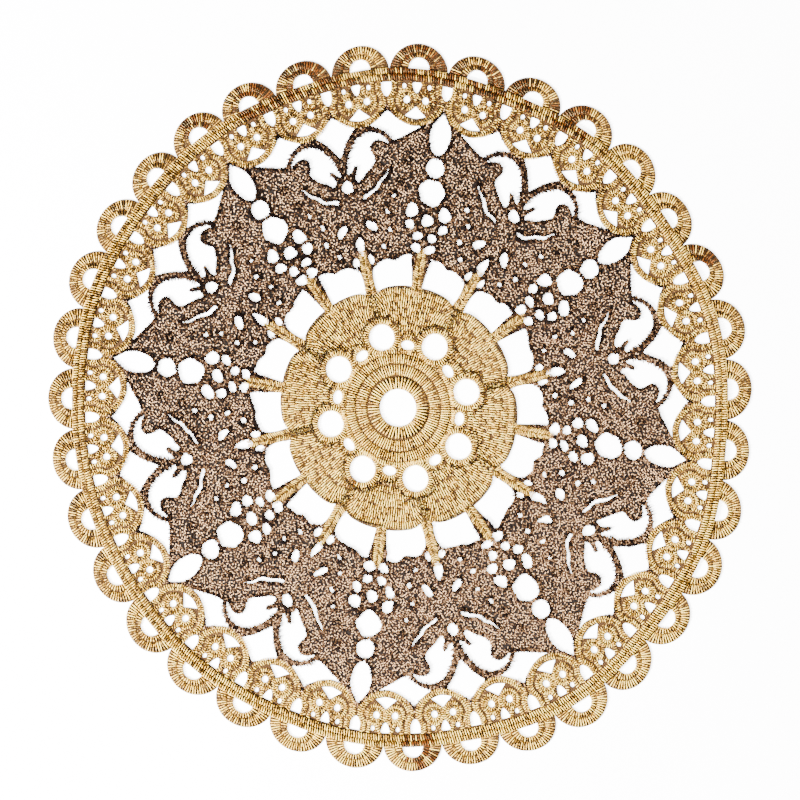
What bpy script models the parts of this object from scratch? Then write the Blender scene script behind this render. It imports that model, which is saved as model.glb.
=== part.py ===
"""Round lace placemat, about 300 mm across, lying flat with its face up.

It is machine-worked lace, so the whole mat is one piece of thread: a gold medallion with eight
petals and sixteen spokes, a ring of eight brown butterflies with small flowers between them, and
a gold edging of paired rosettes, a double cord and scallops. Every gap over 4 mm is cut through.
The origin is on the surface that the mat rests on, under the middle of its outline, +Z is up,
and the far side of the mat as it is looked at is +Y.
"""

import math

import bmesh
import bpy

MM = 0.001
WELD = 0.01 * MM

# Heights above the resting surface, in metres.
SHEET = 1.4 * MM
CORD_TOP = 2.0 * MM
RING_TOP = 1.8 * MM

# Repeats round the mat, and the angle of the first of each, counter-clockwise from +X.
BUTTERFLIES = 8
OVALS = 32
SCALLOPS = 35
FIRST_BUTTERFLY = 13.3
FIRST_OVAL = FIRST_BUTTERFLY + 180.0 / OVALS
FIRST_SCALLOP = 3.96

# Radii in millimetres: the centre hole, the two raised rings of the medallion and the raised cord.
CENTRE_HOLE = 7.6
CENTRE_CORNERS = 20
RAISED_RINGS = [
    # inner, outer, corners
    (8.4, 11.4, 20),
    (20.2, 23.2, 30),
]
CORD_INNER, CORD_OUTER = 135.5, 140.2

# How the soft mat lies: drawn out along one axis, its rim pulled aside and slightly wavy.
RIM = 150.0
LONG_AXIS = 106.5
DRAWN_LONG, DRAWN_SHORT = 1.0209, 0.9800
MEDALLION_AT = (-0.89, -0.07)
RIM_DRIFT = (1.46, -0.76)
RIM_WAVES = [
    # waves round the rim, height in millimetres, angle of a crest
    (2, 0.4, 3.0),
    (3, 0.5, -48.0),
    (5, 0.4, 17.0),
    (9, 0.4, 15.0),
    (10, 0.6, 14.7),
]

# Outlines of the gaps of one butterfly, in millimetres: across to the right of its axis, and out
# from the mat's centre. A halved outline is mirrored on its axis, and a paired one has a twin.
ANTENNA_GAP = [
    (1.3, 99.2), (2.3, 103.6), (4.8, 108.8), (8.8, 112.8), (13.4, 114.1), (17.8, 112.8),
    (21.4, 107.4), (16.2, 109.9), (13.5, 106.6), (14.4, 102.2), (10.6, 98.8), (5.2, 95.3),
    (4.4, 98.0), (6.4, 101.2), (4.4, 101.8), (2.9, 99.8),
]
WING_SLIT = [(5.4, 87.7), (11.0, 89.6), (15.8, 93.2), (19.8, 97.8), (12.6, 92.2), (5.4, 89.1)]
TIP_GAP = [
    (15.5, 116.5), (19.3, 114.3), (22.1, 111.0), (23.8, 108.5), (30.0, 109.5), (37.2, 111.5),
    (32.6, 112.4), (28.6, 115.2), (24.1, 121.3), (21.6, 119.2), (18.4, 117.5),
]
SPOKE_GAP = [
    (2.6, 48.4), (3.4, 59.6), (8.0, 61.0), (12.4, 59.7), (16.6, 60.9), (20.4, 60.0),
    (17.3, 47.6), (13.4, 48.9), (8.6, 50.1), (4.6, 49.7),
]
VEE_GAP_HALF = [(0.0, 106.4), (4.8, 113.2), (8.6, 117.1), (4.0, 119.6), (0.0, 123.4)]
TAIL_SLIT_HALF = [(0.0, 65.4), (1.4, 67.2), (1.4, 70.4), (0.0, 73.2)]
# The same, measured from the seam halfway to the next butterfly.
TEARDROP_HALF = [(0.0, 105.8), (3.3, 109.4), (4.4, 115.0), (3.4, 118.8), (0.0, 123.8)]

# Round gaps of one butterfly, in millimetres. Half sizes, and a lean in degrees clockwise.
FLOWER_OUT = 78.9
ON_AXIS = [
    # across, out, half width, half height, lean, corners, has a twin
    (0.0, 94.0, 2.4, 2.4, 0.0, 8, False),
    (6.3, 76.2, 1.4, 3.1, -33.0, 6, True),
    (0.0, 29.9, 5.3, 5.5, 0.0, 10, False),
]
ON_SEAM = [
    # across, out, half width, half height, lean, corners, has a twin
    (0.0, 26.3, 2.7, 1.8, 0.0, 6, False),
    (2.9, 66.8, 2.2, 1.8, 0.0, 6, True),
    (0.0, 90.5, 5.2, 5.5, 0.0, 9, False),
    (0.0, 100.9, 3.7, 3.9, 0.0, 8, False),
    (0.0, FLOWER_OUT, 2.4, 2.5, 0.0, 7, False),
]
FLOWER_PETALS = [
    # turn from straight out, distance from the flower's eye, half length along it, half width
    (65.0, 7.8, 2.3, 3.1),
    (112.0, 7.6, 1.9, 2.2),
]
PETAL_CORNERS = 6

# Gaps and edge of the gold edging, in millimetres: along the circle from their own middle, and out.
OVAL_WINDOW = [(-4.2, 121.1), (-1.9, 123.1), (0.0, 124.8), (1.9, 123.1), (4.2, 121.1), (0.0, 120.1)]
JOINT_HOLE = [(-2.1, 134.7), (-0.9, 129.4), (0.9, 129.4), (2.1, 134.7)]
SCALLOP_HOLE = [(-4.2, 140.7), (-3.4, 143.4), (0.0, 144.9), (3.4, 143.4), (4.2, 140.7)]
SCALLOP_EDGE = [
    (-12.7, 140.8), (-11.3, 145.2), (-6.2, 149.7), (0.0, 151.0), (6.2, 149.7), (11.3, 145.2),
]

# Thread: old gold with a soft satin shine.
GOLD = (0.62, 0.43, 0.19, 1.0)
THREAD_ROUGHNESS, THREAD_METALLIC = 0.45, 0.2


def clear_scene():
    """Removes every object of the start-up scene."""
    for item in list(bpy.data.objects):
        bpy.data.objects.remove(item, do_unlink=True)


def lie(radius, angle):
    """Where a point of the even pattern comes to lie on the uneven mat, as (x, y) in metres."""
    share = radius / RIM
    for waves, height, crest in RIM_WAVES:
        radius += height * share**3 * math.cos(waves * math.radians(angle - crest))
    turned = math.radians(angle - LONG_AXIS)
    along = radius * math.cos(turned) * DRAWN_LONG
    across = radius * math.sin(turned) * DRAWN_SHORT
    axis = math.radians(LONG_AXIS)
    x = along * math.cos(axis) - across * math.sin(axis)
    y = along * math.sin(axis) + across * math.cos(axis)
    return (
        (x + MEDALLION_AT[0] + RIM_DRIFT[0] * share) * MM,
        (y + MEDALLION_AT[1] + RIM_DRIFT[1] * share) * MM,
    )


def upright(outline, axis_angle):
    """An outline drawn upright (across, out) on the axis at that angle, as it lies on the mat."""
    return [
        lie(math.hypot(across, out), axis_angle - math.degrees(math.atan2(across, out)))
        for across, out in outline
    ]


def rolled(outline, middle_angle):
    """An outline drawn along the circle from its middle at that angle, as it lies on the mat."""
    return [lie(out, middle_angle - math.degrees(across / out)) for across, out in outline]


def twin(outline):
    """The mirror image of an upright outline."""
    return [(-across, out) for across, out in outline]


def mirrored(half):
    """The whole outline of which half is the right side, from one end on the axis to the other."""
    return half + twin(half[1:-1])[::-1]


def oval(across, out, half_width, half_height, lean, corners):
    """Upright outline of a round or oval gap."""
    tilt = math.radians(lean)
    points = []
    for step in range(corners):
        turn = math.tau * (step + 0.5) / corners
        x = half_width * math.cos(turn)
        y = half_height * math.sin(turn)
        points.append((
            across + x * math.cos(tilt) + y * math.sin(tilt),
            out - x * math.sin(tilt) + y * math.cos(tilt),
        ))
    return points


def flower_petals():
    """Upright outlines of the open petals of one small flower, on the seam's axis."""
    petals = []
    for turn, distance, half_length, half_width in FLOWER_PETALS:
        across = distance * math.sin(math.radians(turn))
        out = FLOWER_OUT + distance * math.cos(math.radians(turn))
        petal = oval(across, out, half_width, half_length, turn, PETAL_CORNERS)
        petals += [petal, twin(petal)]
    return petals


def round_gaps(table):
    """Upright outlines of the round gaps that a table lists, with their twins."""
    outlines = []
    for across, out, half_width, half_height, lean, corners, has_twin in table:
        gap = oval(across, out, half_width, half_height, lean, corners)
        outlines += [gap, twin(gap)] if has_twin else [gap]
    return outlines


def motif_gaps():
    """Every gap of the medallion, spokes and butterflies, as it lies on the mat."""
    on_axis = [mirrored(VEE_GAP_HALF), mirrored(TAIL_SLIT_HALF)] + round_gaps(ON_AXIS)
    for paired in (ANTENNA_GAP, WING_SLIT, TIP_GAP, SPOKE_GAP):
        on_axis += [paired, twin(paired)]
    on_seam = [mirrored(TEARDROP_HALF)] + round_gaps(ON_SEAM) + flower_petals()
    step = 360.0 / BUTTERFLIES
    gaps = []
    for number in range(BUTTERFLIES):
        axis_angle = FIRST_BUTTERFLY + number * step
        gaps += [upright(gap, axis_angle) for gap in on_axis]
        gaps += [upright(gap, axis_angle + step / 2) for gap in on_seam]
    return gaps


def edging_gaps():
    """Every gap of the ovals, their joints and the scallops, as it lies on the mat."""
    gaps = []
    step = 360.0 / OVALS
    for number in range(OVALS):
        middle = FIRST_OVAL + number * step
        gaps += [rolled(OVAL_WINDOW, middle), rolled(JOINT_HOLE, middle + step / 2)]
    for number in range(SCALLOPS):
        gaps.append(rolled(SCALLOP_HOLE, FIRST_SCALLOP + number * 360.0 / SCALLOPS))
    return gaps


def circle(radius, corners):
    """A circle of the even pattern, as it lies on the mat."""
    return [lie(radius, 360.0 * step / corners) for step in range(corners)]


def scalloped_edge():
    """The outline of the whole mat, clockwise from above."""
    edge = []
    for number in range(SCALLOPS):
        edge += rolled(SCALLOP_EDGE, FIRST_SCALLOP - number * 360.0 / SCALLOPS)
    return edge


def sheet_of(name, outlines, low, high):
    """A closed mesh object between two heights: the first outline with the others cut out."""
    drawing = bpy.data.curves.new(name + "_drawing", "CURVE")
    drawing.dimensions = "2D"
    drawing.fill_mode = "BOTH"
    drawing.extrude = (high - low) / 2
    for outline in outlines:
        spline = drawing.splines.new("POLY")
        spline.points.add(len(outline) - 1)
        for point, (x, y) in zip(spline.points, outline):
            point.co = (x, y, 0.0, 1.0)
        spline.use_cyclic_u = True
    flat = bpy.data.objects.new(name + "_drawing", drawing)
    bpy.context.scene.collection.objects.link(flat)
    bpy.context.view_layer.update()
    graph = bpy.context.evaluated_depsgraph_get()
    mesh = bpy.data.meshes.new_from_object(flat.evaluated_get(graph))
    mesh.name = name
    bpy.data.objects.remove(flat, do_unlink=True)

    work = bmesh.new()
    work.from_mesh(mesh)
    bmesh.ops.remove_doubles(work, verts=work.verts, dist=WELD)
    bmesh.ops.translate(work, verts=work.verts, vec=(0.0, 0.0, (low + high) / 2))
    bmesh.ops.recalc_face_normals(work, faces=work.faces)
    work.to_mesh(mesh)
    work.free()
    return bpy.data.objects.new(name, mesh)


def band_of(name, inner, outer, corners, top):
    """A raised band between two radii, rooted half-way down in the sheet."""
    rims = [circle(outer, corners), circle(inner, corners)]
    return sheet_of(name, rims, SHEET / 2, top)


def thread_material():
    """The gold thread's material."""
    material = bpy.data.materials.new("gold_thread")
    material.use_nodes = True
    shader = material.node_tree.nodes["Principled BSDF"]
    shader.inputs["Base Color"].default_value = GOLD
    shader.inputs["Roughness"].default_value = THREAD_ROUGHNESS
    shader.inputs["Metallic"].default_value = THREAD_METALLIC
    return material


def build_mat():
    """The whole mat, with its cord and rings joined on."""
    lace = bpy.data.collections.new("lace_placemat")
    guides = bpy.data.collections.new("raised_bands")
    bpy.context.scene.collection.children.link(lace)
    bpy.context.scene.collection.children.link(guides)

    outlines = [scalloped_edge(), circle(CENTRE_HOLE, CENTRE_CORNERS)] + motif_gaps() + edging_gaps()
    mat = sheet_of("lace_mat", outlines, 0.0, SHEET)
    mat.data.materials.clear()
    mat.data.materials.append(thread_material())
    lace.objects.link(mat)

    bands = [band_of("cord_band", CORD_INNER, CORD_OUTER, 2 * SCALLOPS, CORD_TOP)]
    for number, (inner, outer, corners) in enumerate(RAISED_RINGS, start=1):
        bands.append(band_of(f"ring_band_{number}", inner, outer, corners, RING_TOP))
    for band in bands:
        guides.objects.link(band)
        band.hide_render = True
        band.display_type = "WIRE"
        join = mat.modifiers.new(band.name, "BOOLEAN")
        join.operation = "UNION"
        join.object = band


def main():
    """Builds the placemat in an empty scene."""
    clear_scene()
    build_mat()


main()
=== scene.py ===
"""Dresses the round lace placemat in its stitches.

The solid gives the mat's size and outline. Here it becomes what the real mat is: a fine web of
thread, with every stitch lying on it as its own rounded strand. Satin columns in old gold make
the medallion, spokes, ovals, cord and scallops, and short crossing stitches in near-black brown
and bronze fill the butterflies. Lengths in the tables are millimetres, angles are degrees. What
the trees, the finishes and the studio take is in metres.
"""

from __future__ import annotations

import logging
import math
from collections.abc import Callable, Iterable
from dataclasses import dataclass, field, replace
from enum import Enum

import bpy
import numpy as np
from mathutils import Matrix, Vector
from mathutils.geometry import delaunay_2d_cdt

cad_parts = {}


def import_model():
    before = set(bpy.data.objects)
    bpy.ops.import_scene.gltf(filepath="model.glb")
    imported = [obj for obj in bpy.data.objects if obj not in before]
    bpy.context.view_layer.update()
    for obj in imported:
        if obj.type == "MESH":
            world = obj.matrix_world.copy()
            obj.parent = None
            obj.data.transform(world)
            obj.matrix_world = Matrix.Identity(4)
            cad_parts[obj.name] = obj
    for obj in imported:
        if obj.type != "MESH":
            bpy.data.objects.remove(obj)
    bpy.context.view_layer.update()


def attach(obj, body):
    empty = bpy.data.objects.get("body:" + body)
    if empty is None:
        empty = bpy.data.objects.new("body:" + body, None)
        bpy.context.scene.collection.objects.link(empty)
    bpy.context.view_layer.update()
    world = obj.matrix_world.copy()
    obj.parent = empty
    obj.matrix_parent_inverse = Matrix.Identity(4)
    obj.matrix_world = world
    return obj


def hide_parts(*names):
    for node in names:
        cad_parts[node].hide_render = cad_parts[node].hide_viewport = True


Point = tuple[float, float]
Line = list[Point]
Colour = tuple[float, float, float]
Values = dict[str, object]

MM = 0.001
NODE = "lace_mat"
BODY = "root"
LOG = logging.getLogger("placemat")
# of the triangulation: only what lies inside the outlines, and points this close, in mm, are one
INSIDE_OUTLINES = 1
ONE_WITHIN = 1e-4


class Thread(Enum):
    """The two threads of the mat, each with a name of its own."""

    GOLD = "gold_thread"
    BROWN = "brown_thread"


@dataclass(frozen=True)
class Lay:
    """How the soft mat lies: drawn out along one axis, its rim pulled aside and slightly wavy."""

    rim: float = 150.0
    long_axis: float = 106.5
    drawn_long: float = 1.0209
    drawn_short: float = 0.98
    medallion_at: Point = (-0.89, -0.07)
    rim_drift: Point = (1.46, -0.76)
    # where the loose brown cloth is pulled about: it starts, is full, fades and ends
    pull_reach: tuple[float, ...] = (57.0, 63.0, 96.0, 105.0)
    pull: float = 0.38
    # aside, then along: its turn in radians for a millimetre of X and of Y, and where it starts
    pull_waves: tuple[tuple[float, float, float], ...] = ((0.5, 0.75, 0.0), (0.8, -0.55, 2.0))
    # waves round the rim, height, angle of a crest
    rim_waves: tuple[tuple[int, float, float], ...] = (
        (2, 0.4, 3.0),
        (3, 0.5, -48.0),
        (5, 0.4, 17.0),
        (9, 0.4, 15.0),
        (10, 0.6, 14.7),
    )

    def place(self, radius: float, angle: float) -> Point:
        """Finds where a point of the even pattern comes to lie.

        Args:
            radius: Its distance from the middle of the pattern.
            angle: Its direction, counter-clockwise from +X.

        Returns:
            Its place on the mat, (x, y).
        """
        share = radius / self.rim
        for waves, height, crest in self.rim_waves:
            radius += height * share**3 * math.cos(waves * math.radians(angle - crest))
        turned = math.radians(angle - self.long_axis)
        along = radius * math.cos(turned) * self.drawn_long
        across = radius * math.sin(turned) * self.drawn_short
        axis = math.radians(self.long_axis)
        x = along * math.cos(axis) - across * math.sin(axis)
        y = along * math.sin(axis) + across * math.cos(axis)
        return (
            x + self.medallion_at[0] + self.rim_drift[0] * share,
            y + self.medallion_at[1] + self.rim_drift[1] * share,
        )

    def pulled(self, point: Point) -> Point:
        """Moves a point of the loose brown cloth a little aside, each part of it its own way.

        Args:
            point: Where it would lie in an even mat.

        Returns:
            Where it lies.
        """
        x, y = point
        amount = self.pull * float(np.interp(math.hypot(x, y), self.pull_reach, (0.0, 1.0, 1.0, 0.0)))
        aside, along = (
            amount * math.sin(for_x * x + for_y * y + start) for for_x, for_y, start in self.pull_waves
        )
        return (x + aside, y + along)

    def upright(self, line: Iterable[Point], axis_angle: float) -> Line:
        """Lays a line that was drawn upright.

        Args:
            line: Its points, (across to the right, out).
            axis_angle: The angle of the axis that it was drawn on.

        Returns:
            The line as it lies.
        """
        return [
            self.place(math.hypot(across, out), axis_angle - math.degrees(math.atan2(across, out)))
            for across, out in line
        ]

    def rolled(self, line: Iterable[Point], middle_angle: float) -> Line:
        """Lays a line that was drawn (along the circle, out) from its middle at an angle."""
        return [self.place(out, middle_angle - math.degrees(along / out)) for along, out in line]


@dataclass(frozen=True)
class Repeats:
    """How often each motif goes round the mat, and the angle of the first of each."""

    butterflies: int = 8
    ovals: int = 32
    scallops: int = 35
    first_butterfly: float = 13.3
    first_scallop: float = 3.96

    def axes(self) -> list[float]:
        """The angles of the butterflies' axes."""
        return [self.first_butterfly + n * 360.0 / self.butterflies for n in range(self.butterflies)]

    def seams(self) -> list[float]:
        """The angles halfway between the butterflies."""
        return [axis + 180.0 / self.butterflies for axis in self.axes()]

    def oval_middles(self) -> list[float]:
        """The angles of the ovals' middles."""
        step = 360.0 / self.ovals
        return [self.first_butterfly + (n + 0.5) * step for n in range(self.ovals)]

    def scallop_middles(self) -> list[float]:
        """The angles of the scallops' middles."""
        return [self.first_scallop + n * 360.0 / self.scallops for n in range(self.scallops)]


LAY = Lay()
REPEATS = Repeats()


@dataclass(frozen=True)
class Outline:
    """A line through a few points, smooth but for its corners.

    Attributes:
        points: The points, in order.
        corners: The numbers of the points where the line turns sharply.
        closed: Whether the line comes back to its start.
    """

    points: tuple[Point, ...]
    corners: tuple[int, ...] = ()
    closed: bool = True

    def drawn(self, spacing: float = 1.0) -> Line:
        """Draws the line.

        Args:
            spacing: How far apart its points are, about.

        Returns:
            The points, on a smooth curve through the outline's own.
        """
        count = len(self.points)
        line: Line = []
        for here in range(count if self.closed else count - 1):
            start = np.array(self.points[here])
            end = np.array(self.points[(here + 1) % count])
            ends_here = here in self.corners or (not self.closed and here == 0)
            ends_next = (here + 1) % count in self.corners or (not self.closed and here == count - 2)
            before = start if ends_here else np.array(self.points[here - 1])
            after = end if ends_next else np.array(self.points[(here + 2) % count])
            steps = max(1, round(float(np.linalg.norm(end - start)) / spacing))
            for step in range(steps):
                t = step / steps
                point = 0.5 * (
                    2 * start
                    + (end - before) * t
                    + (2 * before - 5 * start + 4 * end - after) * t**2
                    + (3 * start - before - 3 * end + after) * t**3
                )
                line.append((float(point[0]), float(point[1])))
        if not self.closed:
            line.append(self.points[-1])
        return line

    def twin(self) -> Outline:
        """Draws the mirror image.

        Returns:
            The outline at the other side of the axis, its points in the opposite order.
        """
        last = len(self.points) - 1
        return Outline(
            tuple((-across, out) for across, out in reversed(self.points)),
            tuple(last - corner for corner in self.corners),
            self.closed,
        )

    def mirrored(self) -> Outline:
        """Completes the outline, of which this is the right half between two ends on the axis.

        Returns:
            The whole outline.
        """
        last = len(self.points) - 1
        left = tuple((-across, out) for across, out in reversed(self.points[1:-1]))
        corners = set(self.corners) | {2 * last - corner for corner in self.corners if 0 < corner < last}
        return Outline(self.points + left, tuple(sorted(corners)))


def oval_outline(
    across: float, out: float, half_width: float, half_height: float, lean: float = 0.0, points: int = 10
) -> Outline:
    """Draws a round or oval outline.

    Args:
        across: How far to the right its middle is.
        out: How far out its middle is.
        half_width: Half its width.
        half_height: Half its height.
        lean: How far it leans clockwise, in degrees.
        points: How many points it has.

    Returns:
        The outline, counter-clockwise from its right end.
    """
    tilt = math.radians(lean)
    made = []
    for step in range(points):
        turn = math.tau * step / points
        x, y = half_width * math.cos(turn), half_height * math.sin(turn)
        made.append((
            across + x * math.cos(tilt) + y * math.sin(tilt),
            out - x * math.sin(tilt) + y * math.cos(tilt),
        ))
    return Outline(tuple(made))


@dataclass(frozen=True)
class Gaps:
    """The open gaps of the lace, each drawn once in its own motif."""

    antenna: Outline = Outline(
        (
            (1.4, 99.0), (2.4, 103.6), (4.8, 108.6), (8.6, 112.6), (13.0, 114.0), (17.6, 113.0),
            (20.6, 110.4), (21.6, 107.3), (19.4, 109.2), (16.5, 110.2), (14.0, 109.0), (13.3, 106.6),
            (14.3, 102.6), (12.5, 100.2), (9.0, 97.8), (5.2, 95.3), (4.5, 97.6), (6.4, 100.6),
            (6.0, 101.9), (4.6, 101.6), (3.0, 99.6),
        ),
        (0, 7, 15),
    )
    wing_slit: Outline = Outline(
        (
            (5.4, 87.7), (10.0, 89.2), (15.0, 92.6), (19.6, 97.6), (14.6, 93.6), (10.0, 90.4),
            (5.4, 89.0),
        ),
        (0, 3, 6),
    )
    tip: Outline = Outline(
        (
            (15.5, 116.4), (19.1, 114.2), (21.9, 110.8), (23.6, 108.3), (27.1, 108.7), (31.5, 109.9),
            (36.8, 111.2), (32.8, 112.1), (28.7, 115.1), (25.8, 118.4), (24.1, 121.2), (21.5, 119.3),
            (18.2, 117.5),
        ),
        (0, 3, 6, 10),
    )
    spoke: Outline = Outline(
        (
            (2.6, 48.6), (2.5, 55.0), (3.5, 59.6), (8.0, 60.9), (12.4, 59.9), (16.5, 61.0), (20.4, 60.2),
            (17.3, 48.0), (13.5, 49.2), (8.0, 50.0), (4.5, 49.6),
        ),
        (0, 2, 4, 6, 7),
    )
    vee: Outline = Outline(
        (
            (0.0, 106.4), (2.0, 109.6), (4.6, 113.3), (8.5, 117.0), (7.0, 118.2), (3.2, 121.0),
            (0.0, 123.6),
        ),
        (0, 3, 6),
    )
    tail_slit: Outline = Outline(((0.0, 65.2), (1.0, 65.9), (1.6, 67.6), (1.2, 70.5), (0.0, 73.2)), (4,))
    teardrop: Outline = Outline(
        (
            (0.0, 105.8), (2.6, 108.0), (3.9, 111.5), (4.3, 115.0), (3.6, 118.4), (1.8, 121.2),
            (0.0, 123.8),
        ),
        (0, 6),
    )
    oval_window: Outline = Outline(
        ((-4.2, 121.1), (-1.9, 123.0), (0.0, 124.8), (1.9, 123.0), (4.2, 121.1), (0.0, 120.1)), (0, 2, 4)
    )
    joint: Outline = Outline(
        ((-2.0, 134.7), (-1.8, 131.4), (0.0, 129.1), (1.8, 131.4), (2.0, 134.7)), (0, 4)
    )
    middle: Outline = Outline(
        ((-1.9, 134.7), (-1.1, 132.0), (0.0, 130.6), (1.1, 132.0), (1.9, 134.7)), (0, 4)
    )
    scallop: Outline = Outline(
        (
            (-4.3, 140.7), (-3.8, 142.8), (-2.2, 144.4), (0.0, 144.9), (2.2, 144.4), (3.8, 142.8),
            (4.3, 140.7),
        ),
        (0, 6),
    )
    scallop_edge: Outline = Outline(
        (
            (-12.7, 140.6), (-12.0, 143.6), (-9.6, 147.2), (-5.4, 149.9), (0.0, 150.9), (5.4, 149.9),
            (9.6, 147.2), (12.0, 143.6), (12.7, 140.6),
        ),
        (0, 8),
        closed=False,
    )

    def on_axis(self) -> list[Outline]:
        """Draws every gap on or beside a butterfly's axis.

        Returns:
            The gaps.
        """
        petal = oval_outline(0.0, 29.9, 5.3, 5.5, points=12)
        head = oval_outline(0.0, 94.0, 2.4, 2.4)
        lone = [self.vee.mirrored(), self.tail_slit.mirrored(), petal, head]
        paired = [self.antenna, self.wing_slit, self.tip, self.spoke]
        # across, out, half width, half height, lean
        rounds = (
            (6.3, 76.2, 1.4, 2.9, -33.0),
            (3.2, 62.3, 1.1, 2.0, 0.0),
            (14.3, 80.0, 1.0, 1.0, 0.0),
            (18.4, 85.8, 0.9, 0.9, 0.0),
            (14.0, 72.3, 1.0, 1.0, 0.0),
            (9.8, 66.5, 1.0, 1.0, 0.0),
        )
        paired += [oval_outline(*row, points=8) for row in rounds]
        return lone + paired + [gap.twin() for gap in paired]

    def on_seam(self) -> list[Outline]:
        """Draws every gap on or beside the seam between two butterflies.

        Returns:
            The gaps.
        """
        flower = 78.9
        lone = [self.teardrop.mirrored()]
        # across, out, half width, half height
        rounds = (
            (0.0, 26.3, 2.7, 1.8),
            (0.0, 90.5, 5.2, 5.5),
            (0.0, 100.9, 3.7, 3.9),
            (0.0, flower, 2.4, 2.5),
        )
        lone += [oval_outline(*row) for row in rounds]
        paired = [oval_outline(2.9, 66.8, 2.2, 1.8, points=8)]
        # turn from straight out, distance from the flower's eye, half length along it, half width
        petals = ((65.0, 7.8, 2.3, 3.1), (112.0, 7.6, 1.9, 2.2), (155.0, 7.7, 1.8, 2.0))
        for turn, away, length, width in petals:
            across = away * math.sin(math.radians(turn))
            out = flower + away * math.cos(math.radians(turn))
            paired.append(oval_outline(across, out, width, length, turn, points=8))
        return lone + paired + [gap.twin() for gap in paired]

    def in_edging(self) -> list[Outline]:
        """Draws every gap of one oval but its joint, from the oval's middle.

        Returns:
            The gaps.
        """
        eye = oval_outline(4.0, 127.6, 1.2, 1.35, points=8)
        leg = oval_outline(5.4, 133.2, 0.7, 0.9, points=8)
        return [self.oval_window, self.middle, eye, eye.twin(), leg, leg.twin()]


GAPS = Gaps()


def inside(point: Point, line: Line) -> bool:
    """Tests whether a point lies inside a closed line.

    Args:
        point: The point.
        line: The line.

    Returns:
        Whether it does.
    """
    x, y = point
    crossed = False
    for (x0, y0), (x1, y1) in zip(line, line[1:] + line[:1]):
        if (y0 > y) != (y1 > y) and x < (x1 - x0) * (y - y0) / (y1 - y0) + x0:
            crossed = not crossed
    return crossed


def signed_area(line: Line) -> float:
    """Measures the area inside a closed line.

    Args:
        line: The line.

    Returns:
        The area, negative where the line runs clockwise.
    """
    points = np.array(line)
    after = np.roll(points, -1, axis=0)
    return float(np.sum(points[:, 0] * after[:, 1] - after[:, 0] * points[:, 1])) / 2.0


def counterclockwise(line: Line) -> Line:
    """The same closed line, run counter-clockwise."""
    return line if signed_area(line) > 0.0 else line[::-1]


def offset(line: Line, distance: float) -> Line:
    """Draws a closed line again beside itself.

    Args:
        line: The line.
        distance: How far outside it the new line lies.

    Returns:
        The new line.
    """
    points = np.array(line)
    ahead = np.roll(points, -1, axis=0) - np.roll(points, 1, axis=0)
    normal = np.stack([ahead[:, 1], -ahead[:, 0]], axis=1) * math.copysign(1.0, signed_area(line))
    normal /= np.maximum(np.linalg.norm(normal, axis=1, keepdims=True), 1e-9)
    return [(float(x), float(y)) for x, y in points + normal * distance]


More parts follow.
